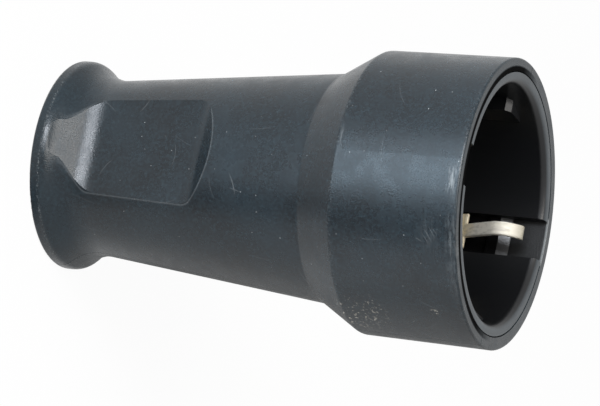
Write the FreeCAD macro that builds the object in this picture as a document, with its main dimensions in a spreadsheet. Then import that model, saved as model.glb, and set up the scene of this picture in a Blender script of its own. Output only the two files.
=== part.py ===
import FreeCAD, Part
import math
import os
import Sketcher

# Earthed round inline socket in a rubber sleeve, in millimetres.
# It stands on its rear collar: Z runs along the cord's axis from the collar to the mouth,
# X points through the thumb scoops and the earth clips, Y through the two contacts.

SIZES = {
    # plug recess and its moulded cup
    "overall_length": 79.45,
    "recess_dia": 39.84,
    "recess_depth": 17.5,
    "cup_wall": 1.98,
    "rim_sink": 0.05,
    "rim_round": 1.3,
    "floor_thickness": 3.5,
    "skirt_depth": 0.5,
    "key_across": 34.7,
    "key_groove": 7.4,
    "key_below_mouth": 4.0,
    "key_bevel": 0.9,
    "clip_slot_width": 7.0,
    "clip_slot_relief": 0.1,
    "pin_dia": 4.8,
    "pin_pitch": 19.0,
    "pin_length": 19.0,
    "pin_hole_room": 0.5,
    "pin_hole_bevel": 0.8,
    # rubber sleeve
    "rubber_wall": 2.18,
    "insert_gap": 0.2,
    "mouth_round": 0.35,
    "head_taper": 0.4,
    "seat_to_shoulder": 0.65,
    "head_round": 0.9,
    "shoulder_length": 7.35,
    "shoulder_round": 0.8,
    "handle_wall": 2.77,
    "handle_taper": 0.103,
    "collar_rim": 2.2,
    "collar_projection": 3.5,
    "collar_round": 0.6,
    "lip_round": 2.0,
    "lip_depth": 0.75,
    "lip_width": 0.86,
    "flare_end": 9.0,
    "flare_radius": 7.5,
    "bead_height": 8.25,
    "bead_width": 2.0,
    "bead_projection": 0.7,
    "bead_slope": 0.6,
    "bead_lead": 1.95,
    "dish_depth": 3.0,
    "dish_rim_width": 4.0,
    "dish_draft": 0.8,
    # thumb scoops
    "scoop_tail": 3.4,
    "scoop_tail_round": 5.0,
    "scoop_corner": 8.6,
    "scoop_corner_depth": 2.35,
    "scoop_corner_round": 6.0,
    "scoop_length": 20.4,
    "scoop_front_depth": 2.67,
    "scoop_front_round": 5.0,
    "scoop_lip_slope": 1.3,
    "scoop_tail_slope": 0.73,
    "scoop_front_slope": 0.866,
    # contact carrier
    "carrier_dia": 29.2,
    "carrier_length": 25.3,
    "carrier_room": 0.4,
    "flange_dia": 40.0,
    "flange_thickness": 3.1,
    "bay_inset": 5.6,
    "bay_room": 0.4,
    "bay_length": 12.0,
    # contacts, their springs and screws
    "pin_room": 0.05,
    "sleeve_wall": 0.75,
    "contact_dia": 7.4,
    "contact_room": 0.15,
    "pin_bottom_room": 0.5,
    "sleeve_slit": 0.8,
    "sleeve_slit_length": 12.0,
    "sleeve_step": 15.3,
    "spring_thickness": 0.45,
    "spring_height": 4.0,
    "spring_below_front": 3.0,
    "spring_split": 1.2,
    "wire_hole_dia": 3.2,
    "wire_hole_depth": 7.5,
    "terminal_height": 4.2,
    "terminal_screw_dia": 3.0,
    "terminal_head_dia": 5.0,
    "terminal_head_height": 1.5,
    "terminal_tip": 0.4,
    "screw_room": 0.05,
    "driver_room": 0.3,
    "drive_slot_width": 0.8,
    "drive_slot_depth": 0.7,
    # earth bracket and its terminal
    "strip_thickness": 0.8,
    "strip_width": 6.0,
    "strip_room": 0.1,
    "arm_height": 6.7,
    "arm_shoulder": 0.9,
    "finger_width": 2.3,
    "finger_apex_across": 28.5,
    "finger_apex_height": 15.25,
    "finger_apex_bend": 3.3,
    "finger_tip_across": 33.2,
    "finger_tip_height": 18.55,
    "finger_bend": 3.0,
    "arm_bend": 0.5,
    "tab_inner": 6.5,
    "tab_width": 6.0,
    "tab_face": 3.8,
    "tab_end_height": 2.5,
    "earth_screw_height": 6.5,
    "earth_screw_dia": 3.5,
    "earth_head_dia": 5.6,
    "earth_head_height": 1.6,
    "earth_screw_tail": 1.4,
    "clamp_plate_side": 5.8,
    "clamp_plate_thickness": 1.0,
    # screw and nut of the insert
    "insert_screw_dia": 4.0,
    "insert_screw_length": 17.5,
    "insert_screw_sink": 0.2,
    "insert_head_dia": 7.4,
    "insert_head_height": 2.2,
    "insert_hole_room": 0.2,
    "nut_width": 7.0,
    "nut_thickness": 3.2,
    "nut_room": 0.2,
    "nut_depth": 9.1,
    # cord inlet and cord clamp
    "cord_dia": 8.4,
    "cord_room": 0.4,
    "cord_squeeze": 0.6,
    "tongue_length": 15.0,
    "tongue_room": 2.0,
    "wire_room": 6.0,
    "core_room": 0.3,
    "clamp_thickness": 2.6,
    "clamp_width": 6.0,
    "clamp_from_end": 4.0,
    "clamp_screw_dia": 3.0,
    "clamp_screw_offset": 6.3,
    "clamp_head_dia": 4.2,
    "clamp_head_height": 1.4,
    "clamp_screw_grip": 8.0,
}

doc = FreeCAD.newDocument("InlineSocket")
sheet = doc.addObject("Spreadsheet::Sheet", "Sizes")
for row, (alias, value) in enumerate(SIZES.items(), start=1):
    sheet.set(f"A{row}", alias.replace("_", " "))
    sheet.set(f"B{row}", str(value))
    sheet.setAlias(f"B{row}", alias)
doc.recompute()


def number_of(value):
    return value.number if isinstance(value, Size) else value


def formula_of(value):
    return value.formula if isinstance(value, Size) else str(value)


class Size:
    """A length as a number, with the sheet formula that gives it."""

    def __init__(self, number, formula):
        self.number = number
        self.formula = formula

    def __add__(self, other):
        return Size(self.number + number_of(other), f"({self.formula} + {formula_of(other)})")

    def __sub__(self, other):
        return Size(self.number - number_of(other), f"({self.formula} - {formula_of(other)})")

    def __mul__(self, other):
        return Size(self.number * number_of(other), f"({self.formula} * {formula_of(other)})")

    def __truediv__(self, other):
        return Size(self.number / number_of(other), f"({self.formula} / {formula_of(other)})")

    def __neg__(self):
        return Size(-self.number, f"(0 - {self.formula})")


def root(value):
    return Size(math.sqrt(value.number), f"sqrt({value.formula})")


def larger(one, other):
    return Size(max(one.number, other.number), f"max({one.formula}; {other.formula})")


def smaller(one, other):
    return Size(min(one.number, other.number), f"min({one.formula}; {other.formula})")


class Sheet:
    """The sheet's cells, each as a Size under its alias."""

    def __getattr__(self, alias):
        return Size(float(sheet.get(alias)), f"Sizes.{alias}")


size = Sheet()

# Levels along the axis, from the mouth down
mouth = size.overall_length
rim = mouth - size.rim_sink
recess_floor = mouth - size.recess_depth
floor_back = recess_floor - size.floor_thickness
seat = floor_back - size.skirt_depth
head_back = seat - size.seat_to_shoulder
shoulder_back = head_back - size.shoulder_length
flange_back = floor_back - size.flange_thickness
carrier_back = floor_back - size.carrier_length
tongue_end = carrier_back - size.tongue_length
core_end = tongue_end - size.tongue_room
strip_back = floor_back - size.strip_thickness

# Radii from the axis, from the recess out; the cup's wall also goes round the flange
recess_radius = size.recess_dia / 2
flange_radius = size.flange_dia / 2
skirt_radius = flange_radius + size.insert_gap
cup_radius = larger(recess_radius + size.cup_wall, skirt_radius + size.cup_wall / 2)
mouth_radius = cup_radius + size.insert_gap
head_radius = mouth_radius + size.rubber_wall
head_back_radius = head_radius - size.head_taper
carrier_radius = size.carrier_dia / 2
carrier_space = carrier_radius + size.carrier_room
flange_space = flange_radius + size.carrier_room
bead_radius = mouth_radius - size.bead_projection
bead_level = recess_floor + size.bead_height

# Cord clamp: the cord's axis is the part's axis, the bar lies on the +X side
clamp_face = size.cord_dia / 2 - size.cord_squeeze
clamp_top = clamp_face + size.clamp_thickness
tongue_back = clamp_top + size.clamp_head_height
tongue_half_width = size.clamp_screw_offset + size.clamp_head_dia / 2
clamp_level = tongue_end + size.clamp_from_end
core_radius = root(tongue_back * tongue_back + tongue_half_width * tongue_half_width) + size.core_room
inlet_radius = size.cord_dia / 2 + size.cord_room
clamp_hole_radius = size.clamp_screw_dia / 2 + size.screw_room

# Contacts
pin_offset = size.pin_pitch / 2
pin_hole_radius = size.pin_dia / 2 + size.pin_hole_room
bore_radius = size.pin_dia / 2 + size.pin_room
sleeve_radius = bore_radius + size.sleeve_wall
contact_radius = size.contact_dia / 2
contact_space = contact_radius + size.contact_room
terminal_level = carrier_back + size.terminal_height
terminal_face = pin_offset + contact_radius

# Earth bracket
arm_face = flange_radius - size.strip_thickness
slot_face = arm_face - size.arm_bend - size.clip_slot_relief
finger_apex = size.finger_apex_across / 2
tab_back = size.tab_face + size.strip_thickness
tab_middle = size.tab_inner + size.tab_width / 2
earth_level = carrier_back + size.earth_screw_height
plate_face = tab_back + size.clamp_plate_thickness
tab_outer = size.tab_inner + size.tab_width
earth_hole_radius = size.earth_screw_dia / 2 + size.screw_room

# Screw and nut that hold cup and carrier together
screw_top = recess_floor - size.insert_screw_sink
insert_radius = size.insert_screw_dia / 2
insert_head_radius = size.insert_head_dia / 2
insert_hole_radius = insert_radius + size.insert_hole_room
nut_top = floor_back - size.nut_depth
nut_corner = size.nut_width / math.sqrt(3)


def handle_radius(level):
    return carrier_space + size.handle_wall + (level - carrier_back) * size.handle_taper


def new_body(label):
    body = doc.addObject("PartDesign::Body", label)
    body.Label = label
    return body


def new_sketch(body, plane, height=None):
    """A sketch on one of the body's own planes, moved along the plane's normal by height."""
    sketch = body.newObject("Sketcher::SketchObject", f"{body.Label}_sketch")
    support = next(item for item in body.Origin.OriginFeatures if item.Role == plane)
    sketch.AttachmentSupport = [(support, "")]
    sketch.MapMode = "FlatFace"
    if height is not None:
        sketch.setExpression("AttachmentOffset.Base.z", height.formula)
    return sketch


def bind(sketch, constraint, value):
    index = sketch.addConstraint(constraint)
    sketch.setExpression(f"Constraints[{index}]", value.formula)


def fix_point(sketch, geometry, end, point):
    """Ties an end of a line, arc or circle to its place; a bare 0 puts it on the axis."""
    for kind, axis, value in (("DistanceX", -2, point[0]), ("DistanceY", -1, point[1])):
        if isinstance(value, Size):
            bind(sketch, Sketcher.Constraint(kind, -1, 1, geometry, end, value.number), value)
        else:
            sketch.addConstraint(Sketcher.Constraint("PointOnObject", geometry, end, axis))


def flat(point):
    return FreeCAD.Vector(number_of(point[0]), number_of(point[1]), 0)


def circle(sketch, x, y, radius):
    shape = Part.Circle(flat((x, y)), FreeCAD.Vector(0, 0, 1), radius.number)
    index = sketch.addGeometry(shape)
    bind(sketch, Sketcher.Constraint("Radius", index, radius.number), radius)
    fix_point(sketch, index, 3, (x, y))


def arc_between(start, end, centre, radius):
    """The shorter arc from start to end, and whether it runs anticlockwise."""
    first = math.atan2(start.y - centre.y, start.x - centre.x)
    last = math.atan2(end.y - centre.y, end.x - centre.x)
    anticlockwise = (last - first) % (2 * math.pi) < math.pi
    if not anticlockwise:
        first, last = last, first
    whole = Part.Circle(centre, FreeCAD.Vector(0, 0, 1), radius)
    return Part.ArcOfCircle(whole, first, last), anticlockwise


def corner_arc(before, corner, after, radius):
    """Start, end and centre of the arc that rounds a corner between two straight sides."""
    back = (before - corner).normalize()
    onward = (after - corner).normalize()
    half = back.getAngle(onward) / 2
    reach = radius / math.tan(half)
    middle = (back + onward).normalize()
    return corner + back * reach, corner + onward * reach, corner + middle * (radius / math.sin(half))


def outline(sketch, corners, hollow_side=None):
    """A closed outline. A corner is (x, y) or (x, y, rounding radius).

    hollow_side is (corner number, radius): the side that leaves that corner is an arc of that
    radius instead of a line, with its centre on the right of the way round.
    """
    count = len(corners)
    places = [flat(corner) for corner in corners]
    enters, leaves, arcs = [], [], {}
    for i, corner in enumerate(corners):
        enter = leave = places[i]
        if len(corner) == 3:
            radius = corner[2].number
            enter, leave, centre = corner_arc(places[i - 1], places[i], places[(i + 1) % count], radius)
            arcs[i] = arc_between(enter, leave, centre, radius)
        enters.append(enter)
        leaves.append(leave)
    sides = []
    for i in range(count):
        start, end = leaves[i], enters[(i + 1) % count]
        first, last = 1, 2
        if hollow_side and hollow_side[0] == i:
            radius = hollow_side[1].number
            half = (end - start) * 0.5
            right = FreeCAD.Vector(half.y, -half.x, 0).normalize()
            centre = start + half + right * math.sqrt(radius ** 2 - half.Length ** 2)
            shape, anticlockwise = arc_between(start, end, centre, radius)
            side = sketch.addGeometry(shape)
            bind(sketch, Sketcher.Constraint("Radius", side, radius), hollow_side[1])
            first, last = (1, 2) if anticlockwise else (2, 1)
        else:
            side = sketch.addGeometry(Part.LineSegment(start, end))
        sides.append((side, first, last))
    for i, corner in enumerate(corners):
        before, _, before_end = sides[i - 1]
        after, after_start, _ = sides[i]
        if i not in arcs:
            sketch.addConstraint(Sketcher.Constraint("Coincident", before, before_end, after, after_start))
            fix_point(sketch, after, after_start, corner)
            continue
        shape, anticlockwise = arcs[i]
        arc = sketch.addGeometry(shape)
        first, last = (1, 2) if anticlockwise else (2, 1)
        tip = sketch.addGeometry(Part.Point(places[i]), True)
        fix_point(sketch, tip, 1, corner)
        for side in (before, after):
            sketch.addConstraint(Sketcher.Constraint("PointOnObject", tip, 1, side))
        sketch.addConstraint(Sketcher.Constraint("Tangent", before, before_end, arc, first))
        sketch.addConstraint(Sketcher.Constraint("Tangent", arc, last, after, after_start))
        bind(sketch, Sketcher.Constraint("Radius", arc, corner[2].number), corner[2])


def rectangle(sketch, left, bottom, right, top):
    outline(sketch, [(left, bottom), (right, bottom), (right, top), (left, top)])


def revolve(body, sketch):
    feature = body.newObject("PartDesign::Revolution", f"{body.Label}_turned")
    feature.Profile = sketch
    feature.ReferenceAxis = (sketch, ["V_Axis"])
    feature.Angle = 360


def pad(body, sketch, length, both_ways=False):
    feature = body.newObject("PartDesign::Pad", f"{body.Label}_pad")
    feature.Profile = sketch
    feature.setExpression("Length", length.formula)
    feature.SideType = "Symmetric" if both_ways else "One side"


def pocket(body, sketch, length=None, onward=False):
    """Cuts through everything both ways, or by length against the sketch's normal or onward along it."""
    feature = body.newObject("PartDesign::Pocket", f"{body.Label}_pocket")
    feature.Profile = sketch
    if length is None:
        feature.SideType = "Symmetric"
        feature.Type = "ThroughAll"
    else:
        feature.Reversed = onward
        feature.setExpression("Length", length.formula)


def bevel(body, width, wanted):
    """Bevels the body's edges that wanted picks."""
    doc.recompute()
    base = body.Tip
    names = [f"Edge{i}" for i, edge in enumerate(base.Shape.Edges, start=1) if wanted(edge)]
    feature = body.newObject("PartDesign::Chamfer", f"{body.Label}_bevel")
    feature.Base = (base, names)
    feature.setExpression("Size", width.formula)


def mirror_of(source, label, normal):
    mirror = doc.addObject("Part::Mirroring", label)
    mirror.Label = label
    mirror.Source = source
    mirror.Normal = normal
    return mirror


def pair(source, label, normal):
    """One node of two like solids, either side of the plane with that normal."""
    group = doc.addObject("Part::Compound", label)
    group.Label = label
    group.Links = [source, mirror_of(source, f"{label}_twin", normal)]
    return group


def rubber_body():
    """The moulded sleeve: one turned profile, then the two thumb scoops."""
    body = new_body("rubber_body")
    collar_radius = handle_radius(size.collar_rim) + size.collar_projection
    dish_radius = collar_radius - size.dish_rim_width
    handle_front = handle_radius(shoulder_back)
    shoulder_lean = size.shoulder_length / (head_back_radius - handle_front)
    flange_space_end = flange_back - size.core_room
    carrier_space_end = carrier_back - size.core_room
    bead_half = size.bead_width / 2
    profile = new_sketch(body, "XZ_Plane")
    outline(
        profile,
        [
            (dish_radius, 0),
            (collar_radius, 0, size.collar_round),
            (collar_radius, size.collar_rim, size.lip_round),
            (collar_radius - size.lip_depth, size.collar_rim + size.lip_width),
            (handle_radius(size.flare_end), size.flare_end),
            (handle_front, shoulder_back, size.shoulder_round),
            (head_back_radius, head_back, size.head_round),
            (head_radius, mouth, size.mouth_round),
            (mouth_radius, mouth),
            (mouth_radius, bead_level + bead_half + size.bead_lead),
            (bead_radius, bead_level + bead_half),
            (bead_radius, bead_level - bead_half),
            (mouth_radius, bead_level - bead_half - size.bead_slope),
            (mouth_radius, seat),
            (flange_space, seat),
            (flange_space, flange_space_end),
            (carrier_space, flange_space_end - (flange_space - carrier_space) * shoulder_lean),
            (carrier_space, carrier_space_end),
            (core_radius, carrier_space_end - (carrier_space - core_radius) / size.scoop_front_slope),
            (core_radius, core_end),
            (inlet_radius, core_end),
            (inlet_radius, size.dish_depth),
            (dish_radius - size.dish_draft, size.dish_depth),
        ],
        hollow_side=(3, size.flare_radius),
    )
    revolve(body, profile)
    corner_face = handle_radius(size.scoop_corner) - size.scoop_corner_depth
    front = size.scoop_corner + size.scoop_length
    front_face = handle_radius(front) - size.scoop_front_depth
    tail_face = corner_face + (size.scoop_corner - size.scoop_tail) * size.scoop_tail_slope
    tail_end = size.scoop_tail - (head_radius - tail_face) / size.scoop_lip_slope
    front_end = front + (head_radius - front_face) / size.scoop_front_slope
    scoops = new_sketch(body, "XZ_Plane")
    for turn in (1, -1):
        outline(
            scoops,
            [
                (head_radius * turn, tail_end),
                (tail_face * turn, size.scoop_tail, size.scoop_tail_round),
                (corner_face * turn, size.scoop_corner, size.scoop_corner_round),
                (front_face * turn, front, size.scoop_front_round),
                (head_radius * turn, front_end),
            ],
        )
    pocket(body, scoops)
    return body


def socket_cup():
    """The front insert: turned cup, key lugs, clip slots and the floor's holes."""
    body = new_body("socket_cup")
    groove_radius = bead_radius - size.insert_gap
    groove_half = size.bead_width / 2 + size.insert_gap
    profile = new_sketch(body, "XZ_Plane")
    outline(
        profile,
        [
            (0, floor_back),
            (skirt_radius, floor_back),
            (skirt_radius, seat),
            (cup_radius, seat),
            (cup_radius, bead_level - groove_half - size.bead_slope),
            (groove_radius, bead_level - groove_half),
            (groove_radius, bead_level + groove_half),
            (cup_radius, bead_level + groove_half + size.bead_lead),
            (cup_radius, rim),
            (recess_radius, rim, size.rim_round),
            (recess_radius, recess_floor),
            (0, recess_floor),
        ],
    )
    revolve(body, profile)
    key_face = size.key_across / 2
    key_side = size.key_groove / 2
    key_root = recess_radius + size.cup_wall / 2
    lugs = new_sketch(body, "XY_Plane", recess_floor)
    for along in (1, -1):
        for across in (1, -1):
            outline(
                lugs,
                [
                    (key_side * across, key_face * along),
                    (root(key_root * key_root - key_face * key_face) * across, key_face * along),
                    (key_side * across, root(key_root * key_root - key_side * key_side) * along),
                ],
            )
    pad(body, lugs, size.recess_depth - size.key_below_mouth)
    key_top = mouth - size.key_below_mouth

    def is_groove_edge(edge):
        at_top = all(abs(end.Z - key_top.number) < 1e-6 for end in edge.Vertexes)
        return at_top and all(abs(abs(end.X) - key_side.number) < 1e-6 for end in edge.Vertexes)

    bevel(body, size.key_bevel, is_groove_edge)
    half_slot = size.clip_slot_width / 2
    wall_slots = new_sketch(body, "XY_Plane", mouth)
    floor_slots = new_sketch(body, "XY_Plane", recess_floor)
    for turn in (1, -1):
        rectangle(wall_slots, finger_apex * turn, -half_slot, mouth_radius * turn, half_slot)
        rectangle(floor_slots, slot_face * turn, -half_slot, mouth_radius * turn, half_slot)
    pocket(body, wall_slots, size.recess_depth)
    pocket(body, floor_slots, recess_floor - seat)
    holes = new_sketch(body, "XY_Plane", recess_floor)
    for turn in (1, -1):
        circle(holes, 0, pin_offset * turn, pin_hole_radius)
    circle(holes, 0, 0, insert_hole_radius)
    pocket(body, holes, size.floor_thickness)

    def is_pin_mouth(edge):
        if not isinstance(edge.Curve, Part.Circle):
            return False
        at_floor = abs(edge.CenterOfMass.z - recess_floor.number) < 1e-6
        return at_floor and abs(edge.Curve.Radius - pin_hole_radius.number) < 1e-6

    bevel(body, size.pin_hole_bevel, is_pin_mouth)
    head_slope = size.insert_head_height / (insert_head_radius - insert_radius)
    sink_end = screw_top - (insert_head_radius - insert_hole_radius) * head_slope
    sink = new_sketch(body, "XZ_Plane")
    outline(
        sink,
        [
            (0, sink_end),
            (insert_hole_radius, sink_end),
            (insert_head_radius, screw_top),
            (insert_head_radius, recess_floor),
            (0, recess_floor),
        ],
    )
    groove = body.newObject("PartDesign::Groove", "screw_sink")
    groove.Profile = sink
    groove.ReferenceAxis = (sink, ["V_Axis"])
    groove.Angle = 360
    return body


def contact_carrier():
    """The rear block: flange, body with its bores and bays, and the trough that carries the cord."""
    body = new_body("contact_carrier")
    profile = new_sketch(body, "XZ_Plane")
    outline(
        profile,
        [
            (0, carrier_back),
            (carrier_radius, carrier_back),
            (carrier_radius, flange_back),
            (flange_radius, flange_back),
            (flange_radius, floor_back),
            (0, floor_back),
        ],
    )
    revolve(body, profile)
    tongue = new_sketch(body, "XY_Plane", tongue_end)
    rectangle(tongue, -tongue_back, -tongue_half_width, clamp_face, tongue_half_width)
    pad(body, tongue, size.tongue_length)
    cord_radius = size.cord_dia / 2
    trough = new_sketch(body, "XY_Plane", tongue_end)
    circle(trough, 0, 0, cord_radius)
    pocket(body, trough, size.tongue_length, onward=True)
    trough_mouth = new_sketch(body, "XY_Plane", tongue_end)
    rectangle(trough_mouth, 0, -cord_radius, clamp_face, cord_radius)
    pocket(body, trough_mouth, size.tongue_length, onward=True)
    wire_space = new_sketch(body, "XY_Plane", carrier_back)
    rectangle(wire_space, -cord_radius, -tongue_half_width, clamp_face, tongue_half_width)
    pocket(body, wire_space, size.wire_room)
    clamp_holes = new_sketch(body, "YZ_Plane", clamp_face)
    for turn in (1, -1):
        circle(clamp_holes, size.clamp_screw_offset * turn, clamp_level, clamp_hole_radius)
    pocket(body, clamp_holes, size.clamp_screw_grip + size.driver_room)
    bores = new_sketch(body, "XY_Plane", floor_back)
    for turn in (1, -1):
        circle(bores, 0, pin_offset * turn, contact_space)
    circle(bores, 0, 0, insert_hole_radius)
    pocket(body, bores, size.carrier_length)
    for turn in (1, -1):
        window = new_sketch(body, "XZ_Plane", pin_offset * turn)
        circle(window, 0, terminal_level, size.terminal_head_dia / 2 + size.driver_room)
        pocket(body, window, carrier_radius, onward=turn == 1)
    nut_half = size.nut_width / 2 + size.nut_room
    nut_slot = new_sketch(body, "XY_Plane", nut_top)
    rectangle(nut_slot, -carrier_radius, -nut_half, nut_corner + size.nut_room, nut_half)
    pocket(body, nut_slot, size.nut_thickness + size.nut_room)
    channel_half = size.strip_width / 2 + size.strip_room
    tab_slot_back = tab_back + size.strip_room
    tab_slot_end = tab_outer + size.strip_room
    channel = new_sketch(body, "XY_Plane", floor_back)
    rectangle(channel, -flange_radius, -channel_half, flange_radius, channel_half)
    pocket(body, channel, size.strip_thickness)
    tab_channel = new_sketch(body, "XY_Plane", floor_back)
    rectangle(tab_channel, size.tab_inner - size.strip_room, 0, tab_slot_end, tab_slot_back)
    pocket(body, tab_channel, size.strip_thickness)
    tab_slot = new_sketch(body, "XY_Plane", floor_back)
    tab_slot_face = size.tab_face - size.strip_room
    rectangle(tab_slot, size.tab_inner - size.strip_room, tab_slot_face, tab_slot_end, tab_slot_back)
    pocket(body, tab_slot, size.carrier_length)
    bay = new_sketch(body, "XY_Plane", carrier_back)
    bay_face = size.tab_face - size.earth_screw_tail - size.bay_room
    rectangle(bay, size.bay_inset, bay_face, carrier_radius, carrier_radius)
    pocket(body, bay, size.bay_length, onward=True)
    return body


def contact():
    """A turned sleeve for one pin, slit at the front, with a wire hole and its screw's hole behind."""
    body = new_body("contact_left")
    step = floor_back - size.sleeve_step
    pin_bottom = recess_floor - size.pin_length - size.pin_bottom_room
    profile = new_sketch(body, "XZ_Plane")
    outline(
        profile,
        [
            (0, carrier_back),
            (contact_radius, carrier_back),
            (contact_radius, step),
            (sleeve_radius, step),
            (sleeve_radius, floor_back),
            (0, floor_back),
        ],
    )
    revolve(body, profile)
    pin_bore = new_sketch(body, "XY_Plane", floor_back)
    circle(pin_bore, 0, 0, bore_radius)
    pocket(body, pin_bore, floor_back - pin_bottom)
    wire_hole = new_sketch(body, "XY_Plane", carrier_back)
    circle(wire_hole, 0, 0, size.wire_hole_dia / 2)
    pocket(body, wire_hole, size.wire_hole_depth, onward=True)
    half_slit = size.sleeve_slit / 2
    slit = new_sketch(body, "XZ_Plane")
    rectangle(slit, -half_slit, floor_back - size.sleeve_slit_length, half_slit, floor_back)
    pocket(body, slit)
    screw_hole = new_sketch(body, "XZ_Plane")
    circle(screw_hole, 0, terminal_level, size.terminal_screw_dia / 2 + size.screw_room)
    pocket(body, screw_hole, contact_radius, onward=True)
    body.setExpression("Placement.Base.y", (-pin_offset).formula)
    return body


def contact_spring():
    """An open ring round the slit part of a sleeve."""
    body = new_body("contact_spring")
    top = floor_back - size.spring_below_front
    ring = new_sketch(body, "XZ_Plane")
    rectangle(ring, sleeve_radius, top - size.spring_height, sleeve_radius + size.spring_thickness, top)
    revolve(body, ring)
    half_split = size.spring_split / 2
    split = new_sketch(body, "XY_Plane", top)
    rectangle(split, 0, -half_split, sleeve_radius + size.spring_thickness, half_split)
    pocket(body, split, size.spring_height)
    body.setExpression("Placement.Base.y", (-pin_offset).formula)
    return body


def slotted_screw(label, diameter, length, head_diameter, head_height, seat_point, turn):
    """A cheese-head screw whose head sits on seat_point, turned from +Z onto its own direction."""
    body = new_body(label)
    shank = diameter / 2
    head = head_diameter / 2
    profile = new_sketch(body, "XZ_Plane")
    outline(
        profile,
        [(0, -length), (shank, -length), (shank, 0), (head, 0), (head, head_height), (0, head_height)],
    )
    revolve(body, profile)
    drive_slot(body, head, head_height)
    body.Placement.Rotation = turn
    for axis, value in zip("xyz", seat_point):
        if isinstance(value, Size):
            body.setExpression(f"Placement.Base.{axis}", value.formula)
    return body


def drive_slot(body, head, top):
    half_slot = size.drive_slot_width / 2
    slot = new_sketch(body, "XY_Plane", top)
    rectangle(slot, -head, -half_slot, head, half_slot)
    pocket(body, slot, size.drive_slot_depth)


def earth_bracket():
    """A bent strip under the recess floor: two arms that end in spring fingers, and the terminal's tab."""
    body = new_body("earth_bracket")
    half = size.strip_thickness / 2
    arm_middle = arm_face + half
    apex = finger_apex + half
    tip = size.finger_tip_across / 2 + half
    arm_top = floor_back + size.arm_height
    apex_level = floor_back + size.finger_apex_height
    tip_level = floor_back + size.finger_tip_height
    apex_bend = smaller(size.finger_apex_bend, tip_level - apex_level)
    right = [
        (arm_middle + half, strip_back, size.arm_bend + size.strip_thickness),
        (arm_middle + half, arm_top, size.finger_bend + size.strip_thickness),
        (apex + half, apex_level, apex_bend),
        (tip + half, tip_level),
        (tip - half, tip_level),
        (apex - half, apex_level, apex_bend + size.strip_thickness),
        (arm_middle - half, arm_top, size.finger_bend),
        (arm_middle - half, floor_back, size.arm_bend),
    ]
    left = [(-corner[0], *corner[1:]) for corner in reversed(right)]
    profile = new_sketch(body, "XZ_Plane")
    outline(profile, right + left)
    pad(body, profile, size.strip_width, both_ways=True)
    trim = new_sketch(body, "YZ_Plane")
    for turn in (1, -1):
        shoulder = arm_top + size.arm_shoulder
        rectangle(trim, size.finger_width / 2 * turn, shoulder, size.strip_width * turn, mouth)
    pocket(body, trim)
    link = new_sketch(body, "XY_Plane", strip_back)
    rectangle(link, size.tab_inner, 0, tab_outer, tab_back)
    pad(body, link, size.strip_thickness)
    tab = new_sketch(body, "XZ_Plane", -tab_back)
    rectangle(tab, size.tab_inner, carrier_back + size.tab_end_height, tab_outer, floor_back)
    pad(body, tab, size.strip_thickness)
    screw_hole = new_sketch(body, "XZ_Plane", -tab_back)
    circle(screw_hole, tab_middle, earth_level, earth_hole_radius)
    pocket(body, screw_hole, size.strip_thickness, onward=True)
    middle = new_sketch(body, "XY_Plane", floor_back)
    circle(middle, 0, 0, insert_hole_radius)
    pocket(body, middle, size.strip_thickness)
    return body


def earth_clamp_plate():
    body = new_body("earth_clamp_plate")
    half = size.clamp_plate_side / 2
    plate = new_sketch(body, "XZ_Plane", -plate_face)
    rectangle(plate, tab_middle - half, earth_level - half, tab_middle + half, earth_level + half)
    circle(plate, tab_middle, earth_level, earth_hole_radius)
    pad(body, plate, size.clamp_plate_thickness)
    return body


def insert_screw():
    """The countersunk screw in the recess floor."""
    body = new_body("insert_screw")
    end = screw_top - size.insert_screw_length
    profile = new_sketch(body, "XZ_Plane")
    outline(
        profile,
        [
            (0, end),
            (insert_radius, end),
            (insert_radius, screw_top - size.insert_head_height),
            (insert_head_radius, screw_top),
            (0, screw_top),
        ],
    )
    revolve(body, profile)
    drive_slot(body, insert_head_radius, screw_top)
    return body


def insert_nut():
    body = new_body("insert_nut")
    half = size.nut_width / 2
    hexagon = new_sketch(body, "XY_Plane", nut_top - size.nut_thickness)
    outline(
        hexagon,
        [
            (nut_corner, 0),
            (nut_corner / 2, half),
            (-nut_corner / 2, half),
            (-nut_corner, 0),
            (-nut_corner / 2, -half),
            (nut_corner / 2, -half),
        ],
    )
    circle(hexagon, 0, 0, insert_radius + size.screw_room)
    pad(body, hexagon, size.nut_thickness)
    return body


def cord_clamp():
    """The bar that closes the trough over the cord."""
    body = new_body("cord_clamp")
    bar = new_sketch(body, "XY_Plane", clamp_level - size.clamp_width / 2)
    rectangle(bar, clamp_face, -tongue_half_width, clamp_top, tongue_half_width)
    pad(body, bar, size.clamp_width)
    arch = new_sketch(body, "XY_Plane", clamp_level)
    circle(arch, 0, 0, size.cord_dia / 2)
    pocket(body, arch)
    holes = new_sketch(body, "YZ_Plane", clamp_top)
    for turn in (1, -1):
        circle(holes, size.clamp_screw_offset * turn, clamp_level, clamp_hole_radius)
    pocket(body, holes, size.clamp_thickness)
    return body


def check_and_write(nodes):
    """Stops on any failed object, else writes each node to its own file."""
    doc.recompute()
    for item in doc.Objects:
        if "Invalid" in item.State or "Error" in item.State:
            raise RuntimeError(f"{item.Label} failed: {item.State}")
        if item.TypeId in ("PartDesign::Pocket", "PartDesign::Groove"):
            if item.Shape.Volume >= item.BaseFeature.Shape.Volume - 0.001:
                raise RuntimeError(f"{item.Name} cuts nothing")
    for node in nodes:
        if node.Shape.isNull() or not node.Shape.isValid():
            raise RuntimeError(f"{node.Label} has no valid shape")
    os.makedirs("parts", exist_ok=True)
    for node in nodes:
        node.Shape.exportStep(f"parts/{node.Label}.step")
        print(node.Label, len(node.Shape.Solids), round(node.Shape.Volume, 1))


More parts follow.
